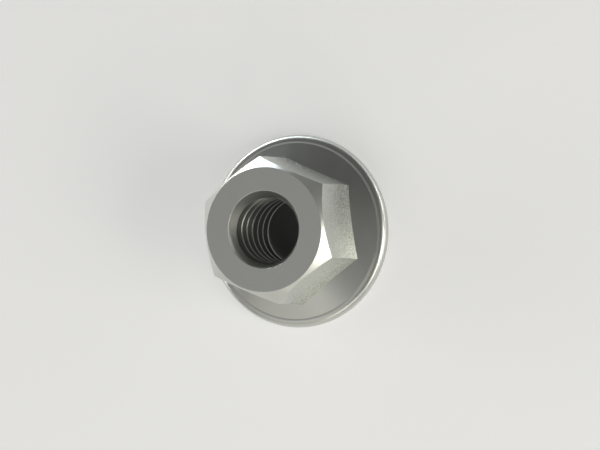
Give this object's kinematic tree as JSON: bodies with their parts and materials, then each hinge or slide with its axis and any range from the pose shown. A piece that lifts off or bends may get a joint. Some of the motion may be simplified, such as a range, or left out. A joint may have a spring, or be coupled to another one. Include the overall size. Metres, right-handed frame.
{
  "type": "flange nut",
  "caption": "Hexagon nut with a conical flange, a full-round rim, a bevelled crown and a countersunk threaded through hole.",
  "frame": {"origin": "centre of the flange's bearing face, on the axis of the hole", "axes": "+Z along the hole from the bearing face to the crown; two corners of the hexagon lie on X, two flats face Y"},
  "size_m": [0.015, 0.015, 0.0075],
  "materials": {
    "nut_steel": "satin turned faces and finely grained flats"
  },
  "bodies": {
    "root": {"flange_nut": "nut_steel"}
  },
  "joints": []
}
